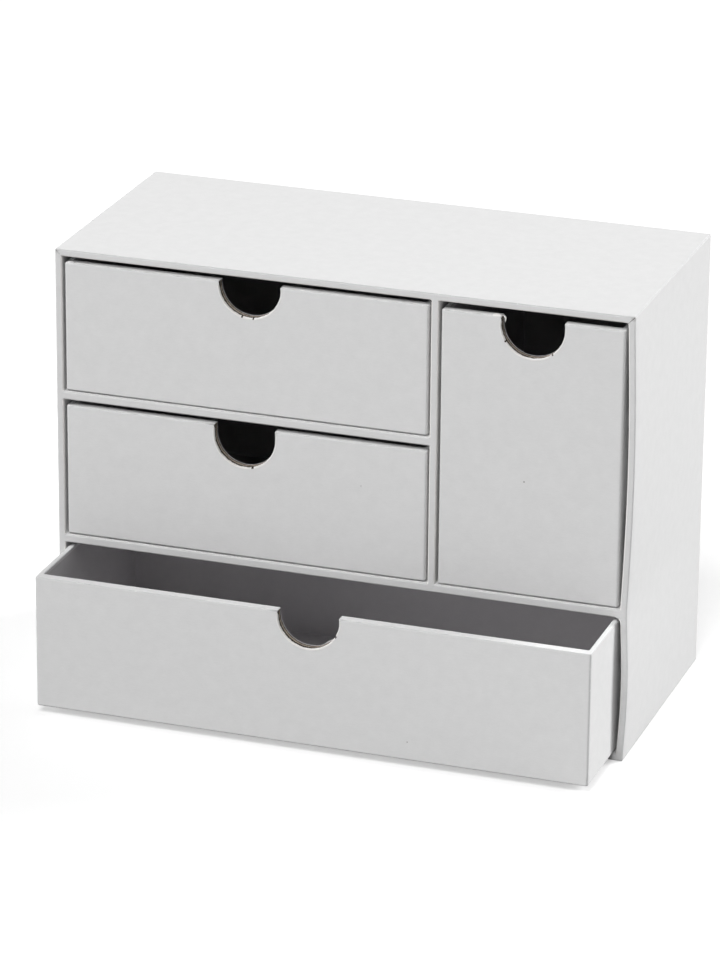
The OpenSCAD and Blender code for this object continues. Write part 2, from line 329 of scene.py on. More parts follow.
# Wrap paper of the case. One sheet of white uncoated paper is pasted over the left side, the top
# and the right side, folded round the boards' edges and turned in at the front and the back.
def paper_material(name, tone, fold_tone, corner_tone, specks_and_crease_shade=()):
    """White uncoated paper, pasted on board: matt, with a faint cloudy formation and fibres. Folds
    and upright corners are darker, partly soiled by handling and partly painted shade, with a few
    clean spots; folds that face up take the fold tone and upright corners the corner tone. Where
    the pressed attribute says so the paper is painted whiter: pressed paper and painted highlight.
    A fleck is a dark speck, or a painted shade where the paper creases, given by its place, radius
    and strength."""
    made, tree = material(name)
    where = node(tree, "ShaderNodeTexCoord")
    place = where.outputs["Object"]
    cloud = noisy(tree, place, 1 / (5 * mm), 4.0, 0.6)
    fibre_lie = node(tree, "ShaderNodeMapping", {
        "Vector": place, "Rotation": (0.4, 0.3, 0.2),
        "Scale": (1 / (2.2 * mm), 1 / (0.45 * mm), 1 / (0.45 * mm))})
    fibre = noisy(tree, fibre_lie.outputs[0], 1.0, 3.0, 0.65, distortion=0.6)
    cloudy = ranged(tree, cloud, 0.3, 0.7, 0.982, 1.018)
    fibrous = ranged(tree, fibre, 0.3, 0.7, 0.985, 1.015)
    shade = calculated(tree, "MULTIPLY", cloudy, fibrous)
    facing = node(tree, "ShaderNodeVectorMath", {0: where.outputs["Normal"]}, operation="ABSOLUTE")
    parts = node(tree, "ShaderNodeSeparateXYZ", {"Vector": facing.outputs[0]})
    larger = calculated(tree, "MAXIMUM", parts.outputs["X"], parts.outputs["Y"])
    squareness = calculated(tree, "MAXIMUM", larger, parts.outputs["Z"])
    # Darker folds and corners: partly soiling by handling, partly painted shade that holds back the lamps'
    # highlight on the rounded edges.
    bent = ranged(tree, squareness, 0.985, 0.8, 0.0, 1.0)
    scuffed = ranged(tree, noisy(tree, place, 1 / (2.5 * mm), 5.0, 0.7), 0.6, 0.7, 1.0, 0.0)
    soiled_and_shaded = calculated(tree, "MULTIPLY", bent, scuffed)
    # Folds facing up take the fold tone and upright corners the corner tone; on the cover papers the upward folds
    # are painted darker as shade against the light from above.
    lying = ranged(tree, parts.outputs["Z"], 0.02, 0.25, 0.0, 1.0)
    worn_and_shaded = mixed(tree, lying, linear(corner_tone), linear(fold_tone))
    base = mixed(tree, soiled_and_shaded, linear(tone), worn_and_shaded)
    # Whiter paper where the pressed attribute says so: partly pressed paper, partly painted highlight.
    whitened_and_highlit = node(tree, "ShaderNodeAttribute", attribute_name="pressed")
    base = mixed(tree, whitened_and_highlit.outputs["Fac"], base, linear("#f4f2f0"))
    for spot, radius, strength in specks_and_crease_shade:
        away = node(tree, "ShaderNodeVectorMath", {0: place, 1: spot}, operation="DISTANCE")
        mark = ranged(tree, away.outputs["Value"], 0.4 * radius, radius, strength, 0.0)
        base = mixed(tree, mark, base, linear("#6f6b66"))
    shaded = node(tree, "ShaderNodeVectorMath", {0: base, "Scale": shade}, operation="SCALE")
    height = calculated(tree, "ADD", fibre, cloud)
    relief = node(tree, "ShaderNodeBump", {"Height": height, "Strength": 0.35, "Distance": 0.05 * mm})
    matt = ranged(tree, fibre, 0.3, 0.7, 0.7, 0.85)
    surface = node(tree, "ShaderNodeBsdfPrincipled", {
        "Base Color": shaded.outputs[0], "Roughness": matt, "IOR": 1.47,
        "Specular IOR Level": 0.35, "Normal": relief.outputs[0]})
    node(tree, "ShaderNodeOutputMaterial", {"Surface": surface.outputs[0]})
    return made


corner_turns = 8
least_radius = 0.06 * mm


def ring(shape, spread=0.0):
    """A rounded rectangle's outline, grown by spread, anticlockwise from its low corner.
    A shape is its low and high corner, its four corner radii and the pieces of its four sides."""
    (x0, y0), (x1, y1), radii, pieces = shape
    x0, y0, x1, y1 = x0 - spread, y0 - spread, x1 + spread, y1 + spread
    radii = [max(radius + spread, least_radius) for radius in radii]
    centres = [(x0 + radii[0], y0 + radii[0]), (x1 - radii[1], y0 + radii[1]),
               (x1 - radii[2], y1 - radii[2]), (x0 + radii[3], y1 - radii[3])]

    def on_corner(corner, turned):
        angle = math.pi + (corner + turned) * math.pi / 2
        radius, (x, y) = radii[corner], centres[corner]
        return Vector((x + radius * math.cos(angle), y + radius * math.sin(angle)))

    points = []
    for corner in range(4):
        points += [on_corner(corner, i / corner_turns) for i in range(corner_turns + 1)]
        start, end = points[-1], on_corner((corner + 1) % 4, 0)
        points += [start.lerp(end, i / pieces[corner]) for i in range(1, pieces[corner])]
    return points


def side(shape, which):
    """The indices of a ring's points along one side, from the middle of one corner to the next:
    0 is the low y side, 1 the high x side, 2 the high y side and 3 the low x side."""
    pieces = shape[3]
    middles = [corner_turns // 2 + corner * corner_turns + sum(pieces[:corner]) for corner in range(4)]
    total = 4 * corner_turns + sum(pieces)
    first, last = middles[which], middles[(which + 1) % 4]
    last += total if last < first else 0
    return [i % total for i in range(first, last + 1)]


def swept(shape, indices, profile, place, flip):
    """The faces between rings that follow a profile of (spread, depth) steps."""
    rings = [(ring(shape, spread), depth) for spread, depth in profile]
    faces = []
    for (near, near_depth), (far, far_depth) in zip(rings, rings[1:]):
        for i, j in zip(indices, indices[1:]):
            face = [place(near[i], near_depth), place(near[j], near_depth),
                    place(far[j], far_depth), place(far[i], far_depth)]
            faces.append(face[::-1] if flip else face)
    return faces


def quarter(spread, depth, out, along, steps=5, round_first=True):
    """A quarter round of a profile, from (spread, depth), moved out and along by its radius."""
    turn = [i / steps * math.pi / 2 for i in range(steps + 1)]
    if round_first:
        return [(spread + out * math.sin(a), depth + along * (1 - math.cos(a))) for a in turn]
    return [(spread + out * (1 - math.cos(a)), depth + along * math.sin(a)) for a in turn]


def steps_between(start, end, longest):
    """Even steps from start to end, both left out."""
    count = max(1, math.ceil(abs(end - start) / longest))
    return [start + (end - start) * i / count for i in range(1, count)]


def pasted_sheet(name, faces, finish, thickness, whitened_at=None):
    """A sheet of paper: faces joined where they meet, and given the paper's thickness inwards.
    The paper is painted whiter at the points that the given function picks: partly pressed paper, partly painted
    highlight."""
    mesh = mesh_of(faces, name, merge=0.002 * mm)
    if whitened_at:
        mark_points(mesh, "pressed", [whitened_at(vertex.co) for vertex in mesh.vertices])
    sheet = add_object(name, mesh, finish)
    solidify = sheet.modifiers.new("thickness", "SOLIDIFY")
    solidify.thickness = thickness
    solidify.offset = -1
    solidify.use_even_offset = True
    return sheet


case_low, case_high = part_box("case_back_paper")
case_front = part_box("case_wrap_paper")[0].y
case_depth = case_high.y - case_front
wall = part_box("case_left_board")[1].x + paper - case_low.x
inner_low = Vector((case_low.x + wall, case_low.z + wall))
inner_high = Vector((case_high.x - wall, case_high.z - wall))
inner_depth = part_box("long_shelf_paper")[1].y - case_front
long_shelf_low, long_shelf_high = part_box("long_shelf_paper")
short_shelf_low, short_shelf_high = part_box("short_shelf_paper")
divider_low, divider_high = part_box("divider_paper")
fold = 0.7 * mm
corner_fold = 0.7 * mm
inner_corner = 0.5 * mm
bottom_cell_corner = 2.4 * mm
tall_cell_corner = 0.9 * mm
stretch = 6 * mm


def pieces_of(low, high):
    """How many pieces the four sides of a shape have."""
    wide, tall = (max(1, round(length / stretch)) for length in (high[0] - low[0], high[1] - low[1]))
    return (wide, tall, wide, tall)


def cell(low, high, top_right=inner_corner):
    """The shape of a cell's opening."""
    return (low, high, (inner_corner, inner_corner, top_right, inner_corner), pieces_of(low, high))


def on_case(point, depth):
    """A point of the case's front, moved back by a depth."""
    return Vector((point.x, case_front + depth, point.y))


outside = ((case_low.x, case_low.z), (case_high.x, case_high.z), (corner_fold,) * 4,
           pieces_of((case_low.x, case_low.z), (case_high.x, case_high.z)))
bottom_cell = cell(inner_low, (inner_high.x, long_shelf_low.z), top_right=bottom_cell_corner)
middle_cell = cell((inner_low.x, long_shelf_high.z), (divider_low.x, short_shelf_low.z))
top_cell = cell((inner_low.x, short_shelf_high.z), (divider_low.x, inner_high.y))
tall_cell = cell((divider_high.x, long_shelf_high.z), inner_high, top_right=tall_cell_corner)

turn_in = 14 * mm
turn_in_overlap = 0.5 * mm
turn_in_sink = 0.13 * mm
sunk_at = 2.5 * mm
back_turn_in = 12 * mm
back_sink = 0.12 * mm
back_plane = case_depth - back_sink
cell_lip = quarter(fold, 0, -fold, fold)
tucked = [(turn_in_sink, sunk_at), (turn_in_sink, turn_in + turn_in_overlap)]
outer_skin = (quarter(-fold, 0, fold, fold)
              + [(0, depth) for depth in steps_between(fold, back_plane - fold, stretch)]
              + quarter(0, back_plane - fold, -fold, fold, round_first=False)
              + [(-back_turn_in, back_plane)])


def along(shape, which, spread):
    """Points along one side of an opening's front edge, clockwise, as the paper round it runs."""
    points = ring(shape, spread)
    return [on_case(points[i], 0) for i in reversed(side(shape, which))]


def front_of(*runs):
    """The flat front of a sheet, bounded by runs of points."""
    return [[point for run in runs for point in run]]


def round_outside(which):
    """The flat front's outer edge along one side of the case."""
    return along(outside, which, -fold)[::-1]


lip_slack = 0.01


def lip_painted_highlight(place):
    """How far a point of the case's paper belongs to a cell's lip, whose paper is painted whiter as a highlight.
    """
    from_edge = min(place.x - case_low.x, case_high.x - place.x, place.z - case_low.z, case_high.z - place.z)
    back = (place.y - case_front) / fold
    return float(from_edge > wall / 2 and lip_slack < back < 1 + lip_slack)


top_corners = [Vector((x, case_front, case_high.z)) for x in (case_low.x, case_high.x)]
# Two dark marks at the top front corners, where the paper creases round the mitres: painted shade of the creases.
crease_shade_marks = [(top_corners[0] + Vector((0.7, 0, -0.8)) * mm, 1.3 * mm, 0.2),
           (top_corners[1] + Vector((-0.7, 0, -0.8)) * mm, 1.5 * mm, 0.3)]
# The case's paper is given a darker tone than the drawers' though it is the same paper: painted shade.
white_paper = paper_material("uncoated_paper_case", "#e4e4e4", "#d0d0d0", "#dedede", crease_shade_marks)
wrap_faces = front_of(round_outside(1), round_outside(2), round_outside(3),
                      along(bottom_cell, 3, fold), along(middle_cell, 3, fold), along(top_cell, 3, fold),
                      along(top_cell, 2, fold), along(tall_cell, 2, fold), along(tall_cell, 1, fold),
                      along(bottom_cell, 1, fold))
for which in (1, 2, 3):
    wrap_faces += swept(outside, side(outside, which), outer_skin, on_case, flip=True)
for shape, sides in ((bottom_cell, (1, 3)), (middle_cell, (3,)), (top_cell, (2, 3)), (tall_cell, (1, 2))):
    for which in sides:
        wrap_faces += swept(shape, side(shape, which), cell_lip + tucked, on_case, flip=False)
wrap = pasted_sheet("case_wrap_sheet", wrap_faces, white_paper, paper, lip_painted_highlight)


# Bow of the right side. Between the bottom, the long shelf and the top nothing but paper holds the
# right side in, and its board has bowed out: most at the front, midway up, and not at the back.
def node_group(name, *inputs):
    """An empty geometry node group that takes a geometry and further inputs, each a name and a kind,
    and what these give."""
    tree = bpy.data.node_groups.new(name, "GeometryNodeTree")
    for label, kind in (("Geometry", "Geometry"), *inputs):
        tree.interface.new_socket(label, in_out="INPUT", socket_type="NodeSocket" + kind)
    tree.interface.new_socket("Geometry", in_out="OUTPUT", socket_type="NodeSocketGeometry")
    return tree, node(tree, "NodeGroupInput").outputs


def close_group(tree, geometry, finish):
    """Makes a group's geometry real, gives it its material and hands it out."""
    real = node(tree, "GeometryNodeRealizeInstances", {0: geometry})
    done = node(tree, "GeometryNodeSetMaterial", {"Geometry": real.outputs[0], "Material": finish})
    node(tree, "NodeGroupOutput", {0: done.outputs[0]})
    return tree


def bow_tree():
    """Geometry nodes that move the right side out by a half wave up its height."""
    lengths = [(name, "Float") for name in ("Bow", "Low edge", "High edge", "Front", "Back", "Right of")]
    tree, given = node_group("side_bow", *lengths, ("Finish", "Material"))
    where = node(tree, "ShaderNodeSeparateXYZ", {0: node(tree, "GeometryNodeInputPosition").outputs[0]})
    up = ranged(tree, where.outputs["Z"], given["Low edge"], given["High edge"], 0.0, math.pi)
    forward = ranged(tree, where.outputs["Y"], given["Front"], given["Back"], given["Bow"], 0.0)
    reach = calculated(tree, "MULTIPLY", calculated(tree, "SINE", up), forward)
    on_side = node(tree, "FunctionNodeCompare", {"A": where.outputs["X"], "B": given["Right of"]},
                   data_type="FLOAT", operation="GREATER_THAN")
    shift = node(tree, "ShaderNodeCombineXYZ", {"X": reach})
    moved = node(tree, "GeometryNodeSetPosition", {
        "Geometry": given["Geometry"], "Selection": on_side.outputs[0], "Offset": shift.outputs[0]})
    return close_group(tree, moved.outputs[0], given["Finish"])


def set_inputs(modifier, values):
    """Sets a geometry modifier's inputs by the name that the tree gives them."""
    for item in modifier.node_group.interface.items_tree:
        if item.in_out == "INPUT" and item.name in values:
            modifier[item.identifier] = values[item.name]


right_board = frame["nodes"]["case_right_board"].data
side_bow_tree = bow_tree()


def bow_right_side(sheet):
    """Bows the parts of a sheet that cover the right side, below the long shelf and above it."""
    for low_edge, high_edge in ((inner_low.y, long_shelf_low.z), (long_shelf_high.z, inner_high.y)):
        board_reach = max(vertex.co.x for vertex in right_board.vertices
                          if low_edge < vertex.co.z < high_edge)
        modifier = sheet.modifiers.new("bow", "NODES")
        modifier.node_group = side_bow_tree
        set_inputs(modifier, {
            "Bow": board_reach + paper - case_high.x, "Low edge": low_edge, "High edge": high_edge,
            "Front": case_front, "Back": case_low.y, "Right of": (tall_cell[0][0] + tall_cell[1][0]) / 2,
            "Finish": sheet.data.materials[0]})


bow_right_side(wrap)
settle(wrap)


def cutter_of(rings):
    """A closed solid through rings of points, to cut with."""
    shape = bmesh.new()
    loops = [[shape.verts.new(point) for point in points] for points in rings]
    for near, far in zip(loops, loops[1:]):
        for i in range(len(near)):
            j = (i + 1) % len(near)
            shape.faces.new((near[i], near[j], far[j], far[i]))
    shape.faces.new(loops[0][::-1])
    shape.faces.new(loops[-1])
    bmesh.ops.recalc_face_normals(shape, faces=shape.faces)
    return add_object("cutter", mesh_from(shape, "cutter"))


def cut_out(piece, cutter):
    """Takes a cutter's shape out of a piece, and removes the cutter."""
    boolean = piece.modifiers.new("cut", "BOOLEAN")
    boolean.operation = "DIFFERENCE"
    boolean.solver = "EXACT"
    boolean.object = cutter
    settle(piece)
    remove(cutter)


# Mitres. At each top corner of the front the paper is cut on the slant, so that it folds round the
# corner without a lump. Each cut has opened a little, and shows a dark line.
mitre_depth = 0.4 * mm
mitre_tip = 0.08 * mm
mitre_past = 1 * mm
for outer_x, inner_x, mitre_width in ((case_low.x, inner_low.x, 0.3 * mm),
                                      (case_high.x, inner_high.x, 0.4 * mm)):
    tip = Vector((inner_x, case_front, inner_high.y))
    mouth = Vector((outer_x, case_front, case_high.z))
    run = (mouth - tip).normalized()
    across = Vector((run.z, 0, -run.x))
    ends = [mouth + run * mitre_past - across * mitre_width / 2,
            mouth + run * mitre_past + across * mitre_width / 2,
            tip + across * mitre_tip / 2, tip - across * mitre_tip / 2]
    cut_out(wrap, cutter_of([[end + Vector((0, step, 0)) for end in ends]
                             for step in (-mitre_past, mitre_depth)]))
hand_over(wrap, "case", "case_cover_paper", "case_wrap_paper")


# Base and back papers. The base sheet is turned up over the front edge of the bottom board. The
# back sheet goes on last, a little smaller than the back, over the edges turned in from the sides.
base_faces = front_of(round_outside(0), along(bottom_cell, 0, fold))
base_faces += swept(outside, side(outside, 0), outer_skin, on_case, flip=True)
base_faces += swept(bottom_cell, side(bottom_cell, 0), cell_lip + tucked, on_case, flip=False)
base = settle(pasted_sheet("case_base_sheet", base_faces, white_paper, paper))
hand_over(base, "case", "case_cover_paper", "case_base_paper")

back_margin = 2.5 * mm
back_edge = 0.06 * mm
back_profile = [(-back_margin, case_depth - back_edge), (-back_margin - back_edge, case_depth)]
back_faces = swept(outside, list(range(-1, len(ring(outside)))), back_profile, on_case, flip=True)
back_faces += [[on_case(point, case_depth) for point in reversed(ring(outside, -back_margin - back_edge))]]
back = settle(pasted_sheet("case_back_sheet", back_faces, white_paper, paper))
hand_over(back, "case", "case_cover_paper", "case_back_paper")


# Shelf and divider papers. Each shelf is a board with its paper folded over the front edge and
# down both faces; the divider stands between them in the same way.
cell_face = [(0, depth) for depth in steps_between(fold, inner_depth - inner_corner, stretch)]
cell_face += [(0, inner_depth - inner_corner)]
for name, edges, faced in (
        ("long_shelf", [(bottom_cell, 2), (tall_cell, 0), (middle_cell, 0)],
         ((bottom_cell, 2), (middle_cell, 0), (tall_cell, 0))),
        ("short_shelf", [(middle_cell, 2), (top_cell, 0)], ((middle_cell, 2), (top_cell, 0))),
        ("divider", [(tall_cell, 3), (top_cell, 1), (middle_cell, 1)],
         ((tall_cell, 3), (top_cell, 1), (middle_cell, 1)))):
    faces = front_of(*[along(shape, which, fold) for shape, which in edges])
    for shape, which in faced:
        faces += swept(shape, side(shape, which), cell_lip + cell_face, on_case, flip=False)
    # The divider's lips are painted whiter, as a highlight.
    lip_highlight_share = lip_painted_highlight if name == "divider" else None
    sheet = settle(pasted_sheet(name + "_sheet", faces, white_paper, paper, lip_highlight_share))
    hand_over(sheet, "case", "case_cover_paper", name + "_paper")


# Lining of the cells. White paper on the inner faces of the sides, top, bottom and back. It starts
# behind the turned-in edge of the cover and is pressed into the corners.
# The lining is given a greyer tone than the cover paper, which darkens the cells' insides.
lining_paper = paper_material("uncoated_paper_lining", "#dcdcdc", "#e2e2e2", "#dcdcdc")
lining_start = [(0, turn_in)] + [(0, depth) for depth in steps_between(turn_in, inner_depth, stretch)
                                 if depth < inner_depth - inner_corner]
lining_end = quarter(0, inner_depth - inner_corner, -inner_corner, inner_corner, steps=3, round_first=False)
lining_faces = []
for shape, lined in ((bottom_cell, (0, 1, 3)), (middle_cell, (3,)), (top_cell, (2, 3)), (tall_cell, (1, 2))):
    for which in range(4):
        run = lining_start + lining_end if which in lined else lining_end
        lining_faces += swept(shape, side(shape, which), run, on_case, flip=False)
    lining_faces += [[on_case(point, inner_depth) for point in ring(shape, -inner_corner)]]
lining = pasted_sheet("case_lining_sheet", lining_faces, lining_paper, paper)
bow_right_side(lining)
settle(lining)
hand_over(lining, "case", "case_lining_paper", "case_lining_paper")


# Drawer covers. Each drawer is a tray of thin board with a front of two plies. Its cover paper is
# folded up the outside and over the rim. The punch that makes the thumb notch presses the paper
# round the edge of the board, where it tears off; in a few spots it has chipped away.
def on_tray(point, height):
    """A point of a drawer's plan at a height."""
    return Vector((point.x, point.y, height))


def notch_line(centre, radius, top):
    """The notch from its left top, round its bottom, to its right top, with the way into the board
    and the angle round from straight down."""
    line_step = 0.35 * mm
    drop = top - centre.z
    count = math.ceil(drop / line_step)
    downs = [drop * i / count for i in range(count)]
    line = [(centre.x - radius, top - down, Vector((-1, 0, 0)), -90) for down in downs]
    turns = math.ceil(math.pi * radius / line_step)
    for i in range(turns + 1):
        angle = math.pi + math.pi * i / turns
        way = Vector((math.cos(angle), 0, math.sin(angle)))
        line.append((centre.x + radius * way.x, centre.z + radius * way.z, way, math.degrees(angle) - 270))
    line += [(centre.x + radius, top - down, Vector((1, 0, 0)), 90) for down in reversed(downs)]
    return [SimpleNamespace(place=Vector((x, 0, z)), way=way, angle=angle) for x, z, way, angle in line]


def tray(drawer):
    """A drawer's box, its outlines from above, its floor, its notch and the punch's way through."""
    low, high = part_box(drawer + "_cover_paper")
    side_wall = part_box(drawer + "_left_board")[1].x + paper - low.x
    pieces = pieces_of((low.x, low.y), (high.x, high.y))
    outer = ((low.x, low.y), (high.x, high.y), (tray_corner,) * 4, pieces)
    inner = ((low.x + side_wall, low.y + front_wall), (high.x - side_wall, high.y - side_wall),
             (tray_inner_corner,) * 4, pieces)
    middle = (low.x + high.x) / 2 + notch_asides.get(drawer, 0)
    notch_centre = Vector((middle, 0, high.z - notch_drops[drawer]))
    line = notch_line(notch_centre, notch_radius, high.z + clear_above)
    for point in line:
        point.share = min(max((high.z - rim_fold - point.place.z) / pressed_run, 0), 1)
        point.wave = edge_wave * noise.noise(point.place / edge_wave_length) * point.share
    return SimpleNamespace(low=low, high=high, outer=outer, inner=inner, line=line,
                           through=(low.y - clear_behind, low.y + front_wall + clear_behind),
                           floor=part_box(drawer + "_base_board")[1].z + paper,
                           all_round=list(range(-1, len(ring(outer)))))


def rim_between(outer, inner, outer_spread, inner_spread, height):
    """The flat of the rim, between the outer outline and the inner one."""
    a, b = ring(outer, outer_spread), ring(inner, inner_spread)
    count = len(a)
    return [[on_tray(a[i], height), on_tray(a[(i + 1) % count], height),
             on_tray(b[(i + 1) % count], height), on_tray(b[i], height)] for i in range(count)]


def punch(line, depths, spread_at):
    """A closed cutter along the notch's line. spread_at(point, depth) widens it into the board."""
    rings = []
    for depth in depths:
        places = [point.place + point.way * spread_at(point, depth) for point in line]
        rings.append([(place.x, depth, place.z) for place in places])
    return cutter_of(rings)


def join_in(piece, part):
    """Adds a settled part's mesh to a settled piece's, marks it to be painted whiter, as pressed paper and painted
    highlight, and removes the part.
    """
    own = len(piece.data.vertices)
    shape = bmesh.new()
    shape.from_mesh(piece.data)
    shape.from_mesh(part.data)
    shape.to_mesh(piece.data)
    shape.free()
    mark_points(piece.data, "pressed", [float(i >= own) for i in range(len(piece.data.vertices))])
    remove(part)


def between_rows(rows):
    """The faces between rows of points. An empty row leaves a gap."""
    faces = []
    for near, far in zip(rows, rows[1:]):
        if near and far:
            faces += [[near[k], far[k], far[k + 1], near[k + 1]] for k in range(len(near) - 1)]
    return faces


def pressed_lip(line, front, chips):
    """The faces of the paper that the punch has pressed round the edge and down into the cut."""
    rows = []
    for point in line:
        reach = pressed * point.share - point.wave
        chipped = any(abs(point.angle - at) * math.radians(1) * notch_radius < chip_width / 2
                      for at in chips)
        if chipped or point.share < least_share:
            rows.append(None)
            continue
        bends = [i / lip_bends * math.pi / 2 for i in range(lip_bends + 1)]
        profile = [(point.wave + reach * (1 - math.sin(a)), reach * (1 - math.cos(a))) for a in bends]
        torn = noise.noise(point.place / tear_length + Vector((0, front / mm, 0)))
        profile.append((point.wave, reach + (tongue + tear * torn) * point.share))
        rows.append([Vector((point.place.x + point.way.x * spread, front + depth,
                             point.place.z + point.way.z * spread)) for spread, depth in profile])
    return between_rows(rows)


notch_radius = 13.4 * mm
notch_drops = {"top_drawer": 1.2 * mm, "middle_drawer": 4 * mm, "tall_drawer": 3 * mm,
               "bottom_drawer": 1.6 * mm}
notch_asides = {"top_drawer": 2.2 * mm}
chips = {"top_drawer": (-14, 7), "middle_drawer": (15,), "tall_drawer": (-57, 38), "bottom_drawer": (61,)}
chip_width = 0.55 * mm
rim_fold = 0.5 * mm
base_fold = 0.8 * mm
tray_corner = 1.1 * mm
tray_inner_corner = 0.5 * mm
tuck = 1.6 * mm
pressed = 0.65 * mm
pressed_run = 1.8 * mm
edge_wave = 0.14 * mm
edge_wave_length = 1.6 * mm
tongue = 0.3 * mm
tear = 0.3 * mm
tear_length = 0.7 * mm
lip_thickness = 0.16 * mm
lip_bends = 4
least_share = 0.1
clear_above = 2 * mm
clear_behind = 1 * mm
trays = {drawer: tray(drawer) for drawer in drawers}
drawer_flecks = [((79.9 * mm, -57.1 * mm, 117.6 * mm), 0.4 * mm, 1.0),
                 ((43.4 * mm, -94 * mm, 11.7 * mm), 0.3 * mm, 1.0),
                 ((9.8 * mm, -57.1 * mm, 106.5 * mm), 0.25 * mm, 1.0)]
# The drawers' paper is the case's paper with a lighter tone; the darker case tone is painted shade.
drawer_paper = paper_material("uncoated_paper_drawer", "#e8e8e8", "#cecece", "#dcdcdc", drawer_flecks)
for drawer, made in trays.items():
    low, high = made.low, made.high
    skin = (quarter(-base_fold, low.z, base_fold, base_fold)
            + [(0, height) for height in steps_between(low.z + base_fold, high.z - rim_fold, stretch)]
            + quarter(0, high.z - rim_fold, -rim_fold, rim_fold, round_first=False))
    faces = swept(made.outer, made.all_round, skin, on_tray, flip=False)
    faces += [[on_tray(point, low.z) for point in reversed(ring(made.outer, -base_fold))]]
    faces += rim_between(made.outer, made.inner, -rim_fold, rim_fold, high.z)
    over = quarter(rim_fold, high.z, -rim_fold, -rim_fold) + [(0, high.z - tuck)]
    faces += swept(made.inner, made.all_round, over, on_tray, flip=False)
    cover = pasted_sheet(drawer + "_cover_sheet", faces, drawer_paper, paper)
    cut_out(cover, punch(made.line, made.through, lambda point, depth: pressed * point.share))
    lip_faces = pressed_lip(made.line, low.y, chips[drawer])
    join_in(cover, settle(pasted_sheet("lip", lip_faces, drawer_paper, lip_thickness)))
    hand_over(cover, drawer, "drawer_cover_paper", drawer + "_cover_paper")


# Lifted paper. Where a rim has been caught, its paper has come off the board in a small blister. At
# the tall drawer's notch a torn shred of it hangs into the opening.
def blister(start, end, lift, made):
    """The faces of a blister on a front's rim, from start to end along it."""
    rows = []
    for i in range(blister_steps + 1):
        t = i / blister_steps
        rise = lift * math.sin(math.pi * t) ** blister_swell
        row = []
        for k in range(blister_rows + 1):
            depth = blister_depth * k / blister_rows
            bend = max(rim_fold - depth, 0)
            rim = made.high.z - rim_fold + math.sqrt(rim_fold ** 2 - bend ** 2)
            dent = noise.noise(Vector((i * crumple_step, k * crumple_row, lift / mm)))
            crumple = 1 + crumple_strength * dent
            crown = math.sin(math.pi * k / blister_rows) ** blister_crown
            row.append(Vector((start + (end - start) * t, made.low.y + depth, rim + rise * crumple * crown)))
        rows.append(row)
    return between_rows(rows)


blister_depth = 2.6 * mm
blister_steps = 12
blister_rows = 8
blister_swell = 0.6
blister_crown = 0.5
crumple_strength = 0.35
crumple_step = 0.9
crumple_row = 0.7
lifted_thickness = 0.14 * mm
shred_whiteness = 0.8
top_left = trays["top_drawer"].low.x
bump_start = top_left + 1.0 * mm
bump_end = top_left + 4.2 * mm
bump_lift = 0.45 * mm
bump = blister(bump_start, bump_end, bump_lift, trays["top_drawer"])
bump_sheet = settle(pasted_sheet("top_drawer_lifted_paper", bump, drawer_paper, lifted_thickness))
hand_over(bump_sheet, "top_drawer", "drawer_cover_paper")

tall = trays["tall_drawer"]
notch_left = tall.line[0].place.x
tall_lift_start = notch_left - 3.9 * mm
tall_lift_end = notch_left + 0.1 * mm
tall_lift = 0.6 * mm
tall_lifted = blister(tall_lift_start, tall_lift_end, tall_lift, tall)
shred_root = Vector((notch_left, tall.low.y, tall.high.z))
shred_across = Vector((0.8, 0.35, 0))
shred_width = [0.45, 0.6, 0.7, 0.75, 0.8, 0.8, 0.8, 0.8, 0.75, 0.7, 0.6, 0.5, 0.35, 0.15]
shred_path = interpolate_bezier(
    shred_root + Vector((0.2, 1.0, 0.3)) * mm, shred_root + Vector((1.9, 0.3, 0.6)) * mm,
    shred_root + Vector((2.1, 0.1, -0.8)) * mm, shred_root + Vector((1.5, 0.7, -2.4)) * mm,
    len(shred_width))
tall_lifted += between_rows([[place + shred_across * width * share * mm for share in (0.5, 0, -0.5)]
                             for place, width in zip(shred_path, shred_width)])
tall_sheet = settle(pasted_sheet("tall_drawer_lifted_paper", tall_lifted, drawer_paper, lifted_thickness,
                                 lambda place: shred_whiteness))
hand_over(tall_sheet, "tall_drawer", "drawer_cover_paper")


# Drawer linings. White paper pasted inside each tray, up to just under the rim, and punched with
# the front. At the bottom drawer's notch a sliver of it stands up past the board.
# The drawers' lining is given a greyer tone than their cover paper, which darkens the trays' insides.
drawer_lining_paper = paper_material("uncoated_paper_drawer_lining", "#d3d1d3", "#d7d6d7", "#d3d1d3")
slivers = {"bottom_drawer": (24, 47)}
sliver_height = 0.5 * mm
for drawer, made in trays.items():
    low, high, floor = made.low, made.high, made.floor
    start, end = slivers.get(drawer, (0, 0))

    def lining_spread(point, depth):
        """How far the lining is cut back; a sliver stands up into the notch."""
        if not start < point.angle < end:
            return 0
        return -sliver_height * math.sin(math.pi * (point.angle - start) / (end - start))

    inside = ([(0, high.z - tuck)] + [(0, height) for height in steps_between(high.z - tuck, floor, stretch)
                                      if height > floor + tray_inner_corner]
              + quarter(0, floor + tray_inner_corner, -tray_inner_corner, -tray_inner_corner, steps=3,
                        round_first=False))
    faces = swept(made.inner, made.all_round, inside, on_tray, flip=False)
    faces += [[on_tray(point, floor) for point in ring(made.inner, -tray_inner_corner)]]
    lining = pasted_sheet(drawer + "_lining_sheet", faces, drawer_lining_paper, paper)
    cut_out(lining, punch(made.line, made.through, lining_spread))
    hand_over(lining, drawer, "drawer_lining_paper", drawer + "_lining_paper")


